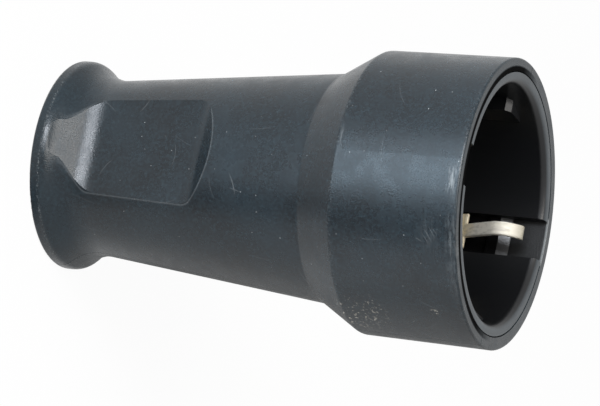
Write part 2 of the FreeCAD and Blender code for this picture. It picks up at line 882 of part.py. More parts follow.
across_y = FreeCAD.Vector(0, 1, 0)
to_minus_y = FreeCAD.Rotation(FreeCAD.Vector(1, 0, 0), 90)
to_plus_y = FreeCAD.Rotation(FreeCAD.Vector(1, 0, 0), -90)
to_plus_x = FreeCAD.Rotation(FreeCAD.Vector(0, 1, 0), 90)

contact_left = contact()
terminal_screw = slotted_screw(
    "contact_terminal_screw",
    size.terminal_screw_dia,
    contact_radius - size.terminal_tip,
    size.terminal_head_dia,
    size.terminal_head_height,
    (0, -terminal_face, terminal_level),
    to_minus_y,
)
earth_screw = slotted_screw(
    "earth_terminal_screw",
    size.earth_screw_dia,
    size.clamp_plate_thickness + size.strip_thickness + size.earth_screw_tail,
    size.earth_head_dia,
    size.earth_head_height,
    (tab_middle, plate_face, earth_level),
    to_plus_y,
)
clamp_screw = slotted_screw(
    "cord_clamp_screw",
    size.clamp_screw_dia,
    size.clamp_thickness + size.clamp_screw_grip,
    size.clamp_head_dia,
    size.clamp_head_height,
    (clamp_top, size.clamp_screw_offset, clamp_level),
    to_plus_x,
)
check_and_write(
    [
        rubber_body(),
        socket_cup(),
        contact_carrier(),
        contact_left,
        mirror_of(contact_left, "contact_right", across_y),
        pair(contact_spring(), "contact_springs", across_y),
        pair(terminal_screw, "contact_terminal_screws", across_y),
        earth_bracket(),
        earth_clamp_plate(),
        earth_screw,
        insert_screw(),
        insert_nut(),
        cord_clamp(),
        pair(clamp_screw, "cord_clamp_screws", across_y),
    ]
)
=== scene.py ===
import math

import bpy
from mathutils import Matrix, Vector

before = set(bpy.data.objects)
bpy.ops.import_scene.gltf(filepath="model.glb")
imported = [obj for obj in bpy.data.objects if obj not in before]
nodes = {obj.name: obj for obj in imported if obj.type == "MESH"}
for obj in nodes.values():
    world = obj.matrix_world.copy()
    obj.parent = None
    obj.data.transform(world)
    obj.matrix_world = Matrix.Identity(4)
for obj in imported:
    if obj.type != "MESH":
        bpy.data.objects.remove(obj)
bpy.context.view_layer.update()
print("frame loaded:", len(nodes), "nodes")

# In the materials' dictionaries lengths are mm and turns degrees. Levels are the noise values between which
# a mask rises, and a pair of lengths is where a mask starts to change and where it ends.
mm = 0.001


def linear(hexColour):
    # sRGB hex to the linear colour that Blender's sockets take
    parts = [int(hexColour[i:i + 2], 16) / 255 for i in (1, 3, 5)]
    return tuple(p / 12.92 if p <= 0.04045 else ((p + 0.055) / 1.055) ** 2.4 for p in parts) + (1.0,)


def patternScale(size):
    return 1000 / size  # texture scale whose pattern repeats about every size mm


def setSockets(tree, node, sockets):
    # a node given as a value stands for its first output in use
    for key, value in sockets.items():
        if isinstance(value, bpy.types.Node):
            value = next(output for output in value.outputs if output.enabled)
        if isinstance(value, bpy.types.NodeSocket):
            tree.links.new(value, node.inputs[key])
        else:
            node.inputs[key].default_value = value


def addNode(tree, kind, sockets=None, **settings):
    # sockets go by name or number: Map Range takes value, from and to as 0 to 4, Mix its colours as 6 and 7
    node = tree.nodes.new(kind)
    for name, value in settings.items():
        setattr(node, name, value)
    setSockets(tree, node, sockets or {})
    return node


def combine(tree, masks, operation):
    # MAXIMUM keeps the strongest of the masks, MULTIPLY what they share
    result = masks[0]
    for mask in masks[1:]:
        result = addNode(tree, "ShaderNodeMath", {0: result, 1: mask}, operation=operation)
    return result


def newMaterial(name):
    material = bpy.data.materials.new(name)
    material.use_nodes = True
    tree = material.node_tree
    place = addNode(tree, "ShaderNodeTexCoord").outputs["Object"]
    return material, tree, tree.nodes["Principled BSDF"], place


def dress(material, *names):
    for name in names:
        slots = nodes[name].data.materials
        slots.clear()
        slots.append(material)


# Rubber sleeve: moulded natural rubber, satin black gone slightly blue-grey, dusty and rubbed at its edges,
# with a painted highlight along the thumb scoops and painted shade along the joint with the insert and deep
# in the bore
rubberLook = {
    "black": "#0e151a",
    "bloom": "#17232a",
    "mottle": "#223138",
    # the colour of the scratches and also of the painted highlight along the thumb scoops' edges
    "wornAndHighlight": "#6b6f71",
    "rubbed": "#8f9394",
    "inside": "#2b2c2d",
    "deepBoreShade": "#0c0c0d",
    "chalk": "#c9c3b6",
    "dust": "#d6d8d8",
    "jointShade": "#050505",
    "ior": 1.46,
    "unrollRadius": 20.0,    # at which the skin is unrolled
    # tone: slow drift from black to blue-grey, and fine mottle
    "driftSize": 14,
    "driftLevels": (0.35, 0.7),
    "mottleSize": 0.5,
    "mottleLevels": (0.45, 0.75),
    "mottleShare": 0.6,
    # rubbed spots in streaks: turn, height, half length round, half length up, strength
    "rubbedSpots": [
        (8, 78.2, 2.7, 1.4, 0.65),
        (34, 78.9, 9.0, 1.6, 0.22),
        (30, 75.0, 3.2, 2.4, 0.08),
        (-4, 58.0, 3.0, 0.6, 0.22),
    ],
    "spotCore": 0.3,         # share of a spot's reach that has its full strength
    "streakSize": 0.45,
    "streakStretch": 0.22,
    "streakLevels": (0.44, 0.66),
    # rubbed rims in stipple: radius, height, reach, strength
    "rims": [
        (24.25, 79.2, 0.9, 0.1),
        (18.05, 1.7, 0.3, 0.35),
        (23.85, 57.4, 0.5, 0.15),
    ],
    "stippleSize": 0.32,
    "stippleLevels": (0.5, 0.66),
    # painted highlight: pale line along the thumb scoops' edges; their faces by height, distance from the
    # axis there and rise per mm
    "scoopFaces": [(8.6, 12.89, -0.73), (8.6, 12.89, 0.0874), (29.0, 14.67, 0.866)],
    "scoopCorner": 1.3,      # rounding between those faces
    "scoopLine": 0.3,        # strength
    "scoopLineRise": (0.01, 0.06),
    "scoopLineFall": (0.08, 0.26),
    "scoopLineFoot": (3.0, 6.0),
    "scoopLineSide": (-7.8, -6.6),
    # single scratches: turn, height, length, slant, strength
    "scratches": [
        (18, 37.8, 4.6, 20, 0.5),
        (21, 38.2, 2.4, 75, 0.3),
        (-29, 10.6, 4.4, 50, 0.22),
        (-29, 17.4, 3.2, -31, 0.3),
        (15, 12.1, 5.4, 155, 0.22),
        (3, 25.0, 6.6, 2, 0.18),
        (28.3, 75.8, 1.3, 45, 0.24),
        (29.0, 75.4, 2.0, 37, 0.3),
        (30.2, 74.7, 2.2, 36, 0.34),
        (31.3, 74.2, 2.0, 40, 0.2),
        (32.2, 73.1, 1.4, 68, 0.3),
    ],
    "scratchEdge": (0.03, 0.11),
    "scratchTaper": 0.4,     # share of its half length at which a scratch starts to fade
    "scratchBow": 45.0,      # m aside for each square m along
    "scratchField": 8.0,     # field that may hold a faint scratch
    "faintStrength": 0.13,
    "faintChance": 0.25,
    # chalky scuffs in crumbs about 0.3 mm across: spots as above
    "chalkSpots": [
        (76, 58.8, 5.6, 3.6, 1.0),
        (73, 62.5, 5.0, 4.0, 0.6),
        (66, 74.6, 1.8, 1.4, 0.45),
    ],
    "crumbSize": 0.6,
    "crumbLevels": (0.585, 0.645),
    # dust: one speck 0.1 to 0.2 mm across in some fields
    "dustField": 3.6,
    "dustChance": 0.25,
    "dustStrength": (0.05, 0.7),
    "speckShare": (0.011, 0.026),  # radius in fields
    # painted shade: dark line where rubber meets insert: radius, height, and its edge on the mouth's face
    "joint": (22.1, 79.45),
    "jointShadeEdge": (0.665, 0.95),
    "frontHalf": (-4.0, 4.0),
    # bore behind the insert, bare in the clip slots, with painted shade that darkens it with depth
    "boreRadius": (22.2, 22.6),
    "boreTop": (79.1, 79.3),
    "boreFoot": 58.0,
    "boreDepth": (71.0, 76.5),     # deepBoreShade turns to inside
    "slotSide": (3.8, 4.4),
    "slotEdge": (0.15, 0.4),
    "slotEdgeStrength": 0.8,
    # shine as Specular IOR Level
    "shine": 0.5,
    "dullShine": 0.05,
    "beadShine": 0.55,
    "beadSlope": (72.2, 1.0),      # middle and half height
    # moulded skin, its grain drawn a little coarse so that it shows
    "grainSize": 0.25,
    "grainHeight": 0.03,
    "waveSize": 9.0,
    "waveHeight": 0.05,
    "seamHeight": 0.05,
    "seamEdge": (0.08, 0.3),
    # polish: roughness of the patches, and what streaks and masks add to it
    "roughness": (0.17, 0.33),
    "patchSize": 4,
    "patchLevels": (0.3, 0.7),
    "brushSize": 0.9,
    "brushStretch": 0.15,
    "brushRough": 0.06,
    "wearRough": 0.2,
    "jointShadeRough": 0.7,
    "boreRough": 0.08,
}


def onSkin(turn, height):
    return (math.radians(turn) * rubberLook["unrollRadius"] * mm, height * mm, 0)


def rubberPlaces(tree, place):
    # along the axes, across the turned profile and on the unrolled skin
    look = rubberLook
    x, y, z = addNode(tree, "ShaderNodeSeparateXYZ", {0: place}).outputs
    flat = addNode(tree, "ShaderNodeCombineXYZ", {0: x, 1: y})
    radius = addNode(tree, "ShaderNodeVectorMath", {0: flat}, operation="LENGTH")
    profile = addNode(tree, "ShaderNodeCombineXYZ", {0: radius, 1: z})
    turn = addNode(tree, "ShaderNodeMath", {0: y, 1: x}, operation="ARCTAN2")
    wayRound = addNode(tree, "ShaderNodeMath", {0: turn, 1: look["unrollRadius"] * mm}, operation="MULTIPLY")
    skin = addNode(tree, "ShaderNodeCombineXYZ", {0: wayRound, 1: z})
    jointRadius, jointHeight = look["joint"]
    joint = (jointRadius * mm, jointHeight * mm, 0)
    fromJoint = addNode(tree, "ShaderNodeVectorMath", {0: profile, 1: joint}, operation="DISTANCE")
    start, end = look["frontHalf"]
    frontHalf = addNode(tree, "ShaderNodeMapRange", {0: x, 1: start * mm, 2: end * mm})
    return {"object": place, "x": x, "y": y, "z": z, "radius": radius, "profile": profile, "skin": skin,
            "fromJoint": fromJoint, "frontHalf": frontHalf}


def rubberTone(tree, where):
    look = rubberLook
    drift = addNode(tree, "ShaderNodeTexNoise",
                    {"Vector": where["object"], "Scale": patternScale(look["driftSize"]), "Detail": 4})
    low, high = look["driftLevels"]
    bloom = addNode(tree, "ShaderNodeMapRange", {0: drift, 1: low, 2: high})
    tone = addNode(tree, "ShaderNodeMix", {0: bloom, 6: linear(look["black"]), 7: linear(look["bloom"])},
                   data_type="RGBA")
    mottle = addNode(tree, "ShaderNodeTexNoise",
                     {"Vector": where["object"], "Scale": patternScale(look["mottleSize"]), "Detail": 3})
    low, high = look["mottleLevels"]
    mottled = addNode(tree, "ShaderNodeMapRange", {0: mottle, 1: low, 2: high, 4: look["mottleShare"]})
    return addNode(tree, "ShaderNodeMix", {0: mottled, 6: tone, 7: linear(look["mottle"])}, data_type="RGBA")


def spotMask(tree, where, spot):
    # oval on the unrolled skin
    turn, height, halfRound, halfUp, strength = spot
    away = addNode(tree, "ShaderNodeVectorMath", {0: where["skin"], 1: onSkin(turn, height)},
                   operation="SUBTRACT")
    oval = addNode(tree, "ShaderNodeVectorMath", {0: away, 1: (halfRound * mm, halfUp * mm, 1)},
                   operation="DIVIDE")
    reach = addNode(tree, "ShaderNodeVectorMath", {0: oval}, operation="LENGTH")
    return addNode(tree, "ShaderNodeMapRange", {0: reach, 1: rubberLook["spotCore"], 2: 1, 3: strength, 4: 0})


def rubbedMask(tree, where):
    # spots in streaks round the part, about 2 mm long, and rims in fine stipple
    look = rubberLook
    streakPlace = addNode(tree, "ShaderNodeMapping", {0: where["skin"], 3: (look["streakStretch"], 1, 1)})
    streaks = addNode(tree, "ShaderNodeTexNoise",
                      {"Vector": streakPlace, "Scale": patternScale(look["streakSize"]), "Detail": 4,
                       "Roughness": 0.65})
    low, high = look["streakLevels"]
    streaky = addNode(tree, "ShaderNodeMapRange", {0: streaks, 1: low, 2: high})
    spots = combine(tree, [spotMask(tree, where, spot) for spot in look["rubbedSpots"]], "MAXIMUM")
    points = addNode(tree, "ShaderNodeTexNoise",
                     {"Vector": where["object"], "Scale": patternScale(look["stippleSize"]), "Detail": 3})
    low, high = look["stippleLevels"]
    stipple = addNode(tree, "ShaderNodeMapRange", {0: points, 1: low, 2: high})
    rims = []
    for rimRadius, height, reach, strength in look["rims"]:
        rim = (rimRadius * mm, height * mm, 0)
        away = addNode(tree, "ShaderNodeVectorMath", {0: where["profile"], 1: rim}, operation="DISTANCE")
        rims.append(addNode(tree, "ShaderNodeMapRange", {0: away, 2: reach * mm, 3: strength, 4: 0}))
    rubbedSpots = combine(tree, [spots, streaky], "MULTIPLY")
    rubbedRims = combine(tree, [combine(tree, rims, "MAXIMUM"), stipple], "MULTIPLY")
    return combine(tree, [rubbedSpots, rubbedRims], "MAXIMUM")


def scoopHighlightMask(tree, where):
    # painted highlight: pale line on the skin along the thumb scoops' edges, left out low on the collar and
    # on their -Y side
    look = rubberLook
    faces = []
    for level, face, slope in look["scoopFaces"]:
        atFloor = (face - level * slope) * mm
        faces.append(addNode(tree, "ShaderNodeMath", {0: where["z"], 1: slope, 2: atFloor},
                             operation="MULTIPLY_ADD"))
    cut = faces[0]
    for face in faces[1:]:
        cut = addNode(tree, "ShaderNodeMath", {0: cut, 1: face, 2: look["scoopCorner"] * mm},
                      operation="SMOOTH_MAX")
    outward = addNode(tree, "ShaderNodeMath", {0: where["x"]}, operation="ABSOLUTE")
    beside = addNode(tree, "ShaderNodeMath", {0: cut, 1: outward}, operation="SUBTRACT")
    start, end = look["scoopLineRise"]
    rise = addNode(tree, "ShaderNodeMapRange", {0: beside, 1: start * mm, 2: end * mm})
    start, end = look["scoopLineFall"]
    fall = addNode(tree, "ShaderNodeMapRange",
                   {0: beside, 1: start * mm, 2: end * mm, 3: look["scoopLine"], 4: 0})
    start, end = look["scoopLineFoot"]
    foot = addNode(tree, "ShaderNodeMapRange", {0: where["z"], 1: start * mm, 2: end * mm})
    start, end = look["scoopLineSide"]
    side = addNode(tree, "ShaderNodeMapRange", {0: where["y"], 1: start * mm, 2: end * mm})
    return combine(tree, [rise, fall, foot, side], "MULTIPLY")


def scratchMask(tree, fromMiddle, slant, halfLength, strength):
    # thin bowed line through a point of the unrolled skin
    look = rubberLook
    turned = addNode(tree, "ShaderNodeVectorRotate", {"Vector": fromMiddle, "Angle": slant},
                     rotation_type="Z_AXIS")
    along, aside, _ = addNode(tree, "ShaderNodeSeparateXYZ", {0: turned}).outputs
    square = addNode(tree, "ShaderNodeMath", {0: along, 1: along}, operation="MULTIPLY")
    bowed = addNode(tree, "ShaderNodeMath", {0: square, 1: look["scratchBow"], 2: aside},
                    operation="MULTIPLY_ADD")
    across = addNode(tree, "ShaderNodeMath", {0: bowed}, operation="ABSOLUTE")
    reach = addNode(tree, "ShaderNodeMath", {0: along}, operation="ABSOLUTE")
    start, end = look["scratchEdge"]
    thin = addNode(tree, "ShaderNodeMapRange", {0: across, 1: start * mm, 2: end * mm, 3: strength, 4: 0})
    ends = addNode(tree, "ShaderNodeMapRange",
                   {0: reach, 1: halfLength * look["scratchTaper"], 2: halfLength, 3: 1, 4: 0})
    return combine(tree, [thin, ends], "MULTIPLY")


def scratchesMask(tree, where):
    # the few that show, and a faint one in some fields all over
    look = rubberLook
    lines = []
    for turn, height, length, slant, strength in look["scratches"]:
        away = addNode(tree, "ShaderNodeVectorMath", {0: where["skin"], 1: onSkin(turn, height)},
                       operation="SUBTRACT")
        lines.append(scratchMask(tree, away, -math.radians(slant), length / 2 * mm, strength))
    fields = addNode(tree, "ShaderNodeTexVoronoi",
                     {"Vector": where["skin"], "Scale": patternScale(look["scratchField"])},
                     voronoi_dimensions="2D")
    chance = addNode(tree, "ShaderNodeSeparateColor", {0: fields.outputs["Color"]})
    away = addNode(tree, "ShaderNodeVectorMath", {0: where["skin"], 1: fields.outputs["Position"]},
                   operation="SUBTRACT")
    slant = addNode(tree, "ShaderNodeMath", {0: chance.outputs["Red"], 1: math.pi}, operation="MULTIPLY")
    halfLength = look["scratchField"] / 3 * mm  # so that it stays in its field
    faint = scratchMask(tree, away, slant, halfLength, look["faintStrength"])
    some = addNode(tree, "ShaderNodeMath", {0: chance.outputs["Green"], 1: look["faintChance"]},
                   operation="LESS_THAN")
    lines.append(combine(tree, [faint, some], "MULTIPLY"))
    return combine(tree, lines, "MAXIMUM")


def chalkMask(tree, where):
    look = rubberLook
    crumbs = addNode(tree, "ShaderNodeTexNoise",
                     {"Vector": where["object"], "Scale": patternScale(look["crumbSize"]), "Detail": 4,
                      "Roughness": 0.7})
    low, high = look["crumbLevels"]
    crumb = addNode(tree, "ShaderNodeMapRange", {0: crumbs, 1: low, 2: high})
    spots = combine(tree, [spotMask(tree, where, spot) for spot in look["chalkSpots"]], "MAXIMUM")
    return combine(tree, [spots, crumb], "MULTIPLY")


def dustMask(tree, where):
    look = rubberLook
    fields = addNode(tree, "ShaderNodeTexVoronoi",
                     {"Vector": where["skin"], "Scale": patternScale(look["dustField"])},
                     voronoi_dimensions="2D")
    chance = addNode(tree, "ShaderNodeSeparateColor", {0: fields.outputs["Color"]})
    there = addNode(tree, "ShaderNodeMath", {0: chance.outputs["Red"], 1: look["dustChance"]},
                    operation="LESS_THAN")
    faint, strong = look["dustStrength"]
    bright = addNode(tree, "ShaderNodeMapRange", {0: chance.outputs["Green"], 3: faint, 4: strong})
    core, rim = look["speckShare"]
    speck = addNode(tree, "ShaderNodeMapRange", {0: fields.outputs["Distance"], 1: core, 2: rim, 3: 1, 4: 0})
    return combine(tree, [speck, there, bright], "MULTIPLY")


def jointShadeMask(tree, where):
    # painted shade: dark line along the joint with the insert, on the front half of the mouth
    start, end = rubberLook["jointShadeEdge"]
    near = addNode(tree, "ShaderNodeMapRange",
                   {0: where["fromJoint"], 1: start * mm, 2: end * mm, 3: 1, 4: 0})
    return combine(tree, [near, where["frontHalf"]], "MULTIPLY")


def boreMask(tree, where):
    look = rubberLook
    start, end = look["boreRadius"]
    within = addNode(tree, "ShaderNodeMapRange", {0: where["radius"], 1: start * mm, 2: end * mm, 3: 1, 4: 0})
    start, end = look["boreTop"]
    below = addNode(tree, "ShaderNodeMapRange", {0: where["z"], 1: start * mm, 2: end * mm, 3: 1, 4: 0})
    above = addNode(tree, "ShaderNodeMath", {0: where["z"], 1: look["boreFoot"] * mm},
                    operation="GREATER_THAN")
    return combine(tree, [within, below, above], "MULTIPLY")


def slotEdgeMask(tree, where):
    # rubbed edge of the mouth across the rear clip slot
    look = rubberLook
    sideways = addNode(tree, "ShaderNodeMath", {0: where["y"]}, operation="ABSOLUTE")
    start, end = look["slotSide"]
    atSlot = addNode(tree, "ShaderNodeMapRange",
                     {0: sideways, 1: start * mm, 2: end * mm, 3: look["slotEdgeStrength"], 4: 0})
    start, end = look["slotEdge"]
    atEdge = addNode(tree, "ShaderNodeMapRange",
                     {0: where["fromJoint"], 1: start * mm, 2: end * mm, 3: 1, 4: 0})
    rearHalf = addNode(tree, "ShaderNodeMath", {0: 1, 1: where["frontHalf"]}, operation="SUBTRACT")
    return combine(tree, [atSlot, atEdge, rearHalf], "MULTIPLY")


def rubberShine(tree, where, jointShade, bore, depth):
    # neither the painted shade along the joint nor the painted-dark deep end of the bore shines, but the
    # slope of the holding bead does
    look = rubberLook
    shallow = combine(tree, [bore, depth], "MULTIPLY")
    deep = addNode(tree, "ShaderNodeMath", {0: bore, 1: shallow}, operation="SUBTRACT")
    dull = combine(tree, [jointShade, deep], "MAXIMUM")
    shine = addNode(tree, "ShaderNodeMapRange", {0: dull, 3: look["shine"], 4: look["dullShine"]})
    middle, halfHeight = look["beadSlope"]
    bead = addNode(tree, "ShaderNodeMath", {0: where["z"], 1: middle * mm, 2: halfHeight * mm},
                   operation="COMPARE")
    bareBead = combine(tree, [bead, bore], "MULTIPLY")
    return addNode(tree, "ShaderNodeMath", {0: bareBead, 1: look["beadShine"], 2: shine},
                   operation="MULTIPLY_ADD")


def rubberSkin(tree, where):
    # fine grain on slow waves, with the mould seam along both sides
    look = rubberLook
    grain = addNode(tree, "ShaderNodeTexNoise",
                    {"Vector": where["object"], "Scale": patternScale(look["grainSize"]), "Detail": 2})
    waves = addNode(tree, "ShaderNodeTexNoise",
                    {"Vector": where["object"], "Scale": patternScale(look["waveSize"]), "Detail": 2})
    aside = addNode(tree, "ShaderNodeMath", {0: where["x"]}, operation="ABSOLUTE")
    start, end = look["seamEdge"]
    height = addNode(tree, "ShaderNodeMapRange",
                     {0: aside, 1: start * mm, 2: end * mm, 3: look["seamHeight"], 4: 0})
    for pattern, most in ((grain, look["grainHeight"]), (waves, look["waveHeight"])):
        height = addNode(tree, "ShaderNodeMath", {0: pattern, 1: most, 2: height}, operation="MULTIPLY_ADD")
    return addNode(tree, "ShaderNodeBump", {"Strength": 1, "Distance": mm, "Height": height})


def rubberPolish(tree, where, wear, jointShade, bore):
    # polish comes in patches a few mm across, with faint streaks round the part
    look = rubberLook
    patches = addNode(tree, "ShaderNodeTexNoise",
                      {"Vector": where["object"], "Scale": patternScale(look["patchSize"]), "Detail": 6,
                       "Roughness": 0.7})
    low, high = look["patchLevels"]
    polished, matt = look["roughness"]
    rough = addNode(tree, "ShaderNodeMapRange", {0: patches, 1: low, 2: high, 3: polished, 4: matt})
    brushPlace = addNode(tree, "ShaderNodeMapping", {0: where["skin"], 3: (look["brushStretch"], 1, 1)})
    brush = addNode(tree, "ShaderNodeTexNoise",
                    {"Vector": brushPlace, "Scale": patternScale(look["brushSize"]), "Detail": 3})
    for mask, more in ((brush, "brushRough"), (wear, "wearRough"), (jointShade, "jointShadeRough"), (bore, "boreRough")):
        rough = addNode(tree, "ShaderNodeMath", {0: mask, 1: look[more], 2: rough}, operation="MULTIPLY_ADD")
    return rough


def mouldedRubber():
    look = rubberLook
    material, tree, shader, place = newMaterial("mouldedRubber")
    where = rubberPlaces(tree, place)
    wear = rubbedMask(tree, where)
    jointShade = jointShadeMask(tree, where)
    bore = boreMask(tree, where)
    # painted shade: the bore goes from the inside tone near the mouth to deepBoreShade deep down
    start, end = look["boreDepth"]
    depth = addNode(tree, "ShaderNodeMapRange", {0: where["z"], 1: start * mm, 2: end * mm})
    boreShadeTone = addNode(tree, "ShaderNodeMix",
                       {0: depth, 6: linear(look["deepBoreShade"]), 7: linear(look["inside"])}, data_type="RGBA")
    tone = rubberTone(tree, where)
    layers = [
        (wear, linear(look["rubbed"])),
        # painted highlight along the thumb scoops' edges
        (scoopHighlightMask(tree, where), linear(look["wornAndHighlight"])),
        (scratchesMask(tree, where), linear(look["wornAndHighlight"])),
        (chalkMask(tree, where), linear(look["chalk"])),
        (dustMask(tree, where), linear(look["dust"])),
        # painted shade along the joint with the insert
        (jointShade, linear(look["jointShade"])),
        (bore, boreShadeTone),
        (slotEdgeMask(tree, where), linear(look["rubbed"])),
    ]
    for mask, colour in layers:
        tone = addNode(tree, "ShaderNodeMix", {0: mask, 6: tone, 7: colour}, data_type="RGBA")
    setSockets(tree, shader, {
        "Base Color": tone,
        "Roughness": rubberPolish(tree, where, wear, jointShade, bore),
        "Specular IOR Level": rubberShine(tree, where, jointShade, bore, depth),
        "Normal": rubberSkin(tree, where),
        "IOR": look["ior"],
    })
    return material


# Front insert: black thermoset pressing, satin inside, clouded and dull on its rim
cupLook = {
    "black": "#0c0d0f",
    "dull": "#484e52",
    "roughness": 0.34,
    "dullRough": 0.1,        # more on the rim
    "dullEdge": (79.05, 79.35),
    "cloudSize": 5,
    "cloudLevels": (0.3, 0.7),
    "cloudShare": (0.7, 1),
    "flowSize": 3,
    "flowHeight": 0.1,
}


def pressedThermoset():
    look = cupLook
    material, tree, shader, place = newMaterial("pressedThermoset")
    height = addNode(tree, "ShaderNodeSeparateXYZ", {0: place}).outputs["Z"]
    start, end = look["dullEdge"]
    rim = addNode(tree, "ShaderNodeMapRange", {0: height, 1: start * mm, 2: end * mm})
    cloud = addNode(tree, "ShaderNodeTexNoise",
                    {"Vector": place, "Scale": patternScale(look["cloudSize"]), "Detail": 5})
    low, high = look["cloudLevels"]
    least, most = look["cloudShare"]
    clouded = addNode(tree, "ShaderNodeMapRange", {0: cloud, 1: low, 2: high, 3: least, 4: most})
    dulled = combine(tree, [rim, clouded], "MULTIPLY")
    tone = addNode(tree, "ShaderNodeMix", {0: dulled, 6: linear(look["black"]), 7: linear(look["dull"])},
                   data_type="RGBA")
    rough = addNode(tree, "ShaderNodeMapRange",
                    {0: dulled, 3: look["roughness"], 4: look["roughness"] + look["dullRough"]})
    flow = addNode(tree, "ShaderNodeTexNoise",
                   {"Vector": place, "Scale": patternScale(look["flowSize"]), "Detail": 3})
    bump = addNode(tree, "ShaderNodeBump",
                   {"Strength": 0.25, "Distance": look["flowHeight"] * mm, "Height": flow})
    setSockets(tree, shader, {"Base Color": tone, "Roughness": rough, "Normal": bump})
    return material


# Carrier and clamp bar: the same kind of pressing, brown-black and left matt, with its filler showing
carrierLook = {"dark": "#26221e", "pale": "#3a342e", "roughness": 0.55, "fillSize": 0.8, "fillHeight": 0.05}


def mattThermoset():
    look = carrierLook
    material, tree, shader, place = newMaterial("mattThermoset")
    fill = addNode(tree, "ShaderNodeTexNoise",
                   {"Vector": place, "Scale": patternScale(look["fillSize"]), "Detail": 4})
    tone = addNode(tree, "ShaderNodeMix", {0: fill, 6: linear(look["dark"]), 7: linear(look["pale"])},
                   data_type="RGBA")
    bump = addNode(tree, "ShaderNodeBump",
                   {"Strength": 0.4, "Distance": look["fillHeight"] * mm, "Height": fill})
    setSockets(tree, shader, {"Base Color": tone, "Roughness": look["roughness"], "Normal": bump})
    return material


# Earth clips: stamped brass strip, nickel-plated and dulled, rubbed through to yellow near the root,
# with painted shade in darker streaks along the strip and over its tip, which the plugs scrape rougher
clipLook = {
    "nickel": "#fbf7ec",
    "brass": "#ffe9b4",
    # painted shade, laid in streaks along the strip and over its tip
    "darkening": "#a19b8a",
    "metallic": 0.3,         # dulled plating
    "roughness": (0.5, 0.7),
    "tipRough": 0.3,         # more at the tip
    "rubSize": 1.6,
    "rubReach": 3.0,
    "yellowEdge": (66.4, 69.4),
    "yellowShare": (0.85, 0.08),
    "tipEdge": (74.4, 77.4),
    "strokeSize": 0.6,
    "strokeStretch": 0.08,
    "strokeLevels": (0.3, 0.7),
    "strokeHeight": 0.04,
    "shadeLevels": (0.45, 0.7),
    "shadeShare": 0.45,
    "edgeRadius": 0.7,       # tumbled edges
}


def platedBrass():
    look = clipLook
    material, tree, shader, place = newMaterial("platedBrass")
    height = addNode(tree, "ShaderNodeSeparateXYZ", {0: place}).outputs["Z"]
    rubs = addNode(tree, "ShaderNodeTexNoise",
                   {"Vector": place, "Scale": patternScale(look["rubSize"]), "Detail": 4})
    ragged = addNode(tree, "ShaderNodeMath", {0: rubs, 1: look["rubReach"] * mm, 2: height},
                     operation="MULTIPLY_ADD")
    start, end = look["yellowEdge"]
    below, above = look["yellowShare"]
    yellow = addNode(tree, "ShaderNodeMapRange", {0: ragged, 1: start * mm, 2: end * mm, 3: below, 4: above})
    metal = addNode(tree, "ShaderNodeMix", {0: yellow, 6: linear(look["nickel"]), 7: linear(look["brass"])},
                    data_type="RGBA")
    along = addNode(tree, "ShaderNodeMapping", {0: place, 3: (1, 1, look["strokeStretch"])})
    strokes = addNode(tree, "ShaderNodeTexNoise",
                      {"Vector": along, "Scale": patternScale(look["strokeSize"]), "Detail": 3})
    # painted shade: the tip and streaks along the strip are darkened
    start, end = look["tipEdge"]
    tip = addNode(tree, "ShaderNodeMapRange", {0: height, 1: start * mm, 2: end * mm})
    low, high = look["shadeLevels"]
    lines = addNode(tree, "ShaderNodeMapRange", {0: strokes, 1: low, 2: high, 4: look["shadeShare"]})
    shaded = combine(tree, [tip, lines], "MAXIMUM")
    metal = addNode(tree, "ShaderNodeMix", {0: shaded, 6: metal, 7: linear(look["darkening"])}, data_type="RGBA")
    low, high = look["strokeLevels"]
    polished, matt = look["roughness"]
    rough = addNode(tree, "ShaderNodeMapRange", {0: strokes, 1: low, 2: high, 3: polished, 4: matt})
    rough = addNode(tree, "ShaderNodeMath", {0: tip, 1: look["tipRough"], 2: rough}, operation="MULTIPLY_ADD")
    soft = addNode(tree, "ShaderNodeBevel", {"Radius": look["edgeRadius"] * mm}, samples=6)
    bump = addNode(tree, "ShaderNodeBump",
                   {"Strength": 0.3, "Distance": look["strokeHeight"] * mm, "Height": strokes,
                    "Normal": soft})
    setSockets(tree, shader,
               {"Base Color": metal, "Roughness": rough, "Normal": bump, "Metallic": look["metallic"]})
    return material


# Contacts: turned brass with tool rings round each sleeve, drawn coarse so that they show
contactLook = {
    "brass": "#d2ab5f",
    "dull": "#a8843f",
    "roughness": 0.3,
    "stainSize": 3,
    "ringSpacing": 0.79,
    "ringHeight": 0.03,
}


def turnedBrass():
    look = contactLook
    material, tree, shader, place = newMaterial("turnedBrass")
    ringScale = patternScale(look["ringSpacing"]) * math.pi / 10  # Wave has 10 / pi bands in each unit
    rings = addNode(tree, "ShaderNodeTexWave", {"Vector": place, "Scale": ringScale, "Distortion": 0.4},
                    bands_direction="Z")
    darkening = addNode(tree, "ShaderNodeTexNoise",
                    {"Vector": place, "Scale": patternScale(look["stainSize"]), "Detail": 4})
    metal = addNode(tree, "ShaderNodeMix", {0: darkening, 6: linear(look["brass"]), 7: linear(look["dull"])},
                    data_type="RGBA")
    bump = addNode(tree, "ShaderNodeBump",
                   {"Strength": 0.3, "Distance": look["ringHeight"] * mm, "Height": rings.outputs["Fac"]})
    setSockets(tree, shader,
               {"Base Color": metal, "Roughness": look["roughness"], "Normal": bump, "Metallic": 1})
    return material


# Screws, nut, clamp plate and springs: steel with a thin zinc coat, faintly clouded
fastenerLook = {
    "zinc": "#b9bcc0",
    "dull": "#8e9195",
    "roughness": 0.34,
    "cloudSize": 0.9,
    "cloudHeight": 0.03,
}


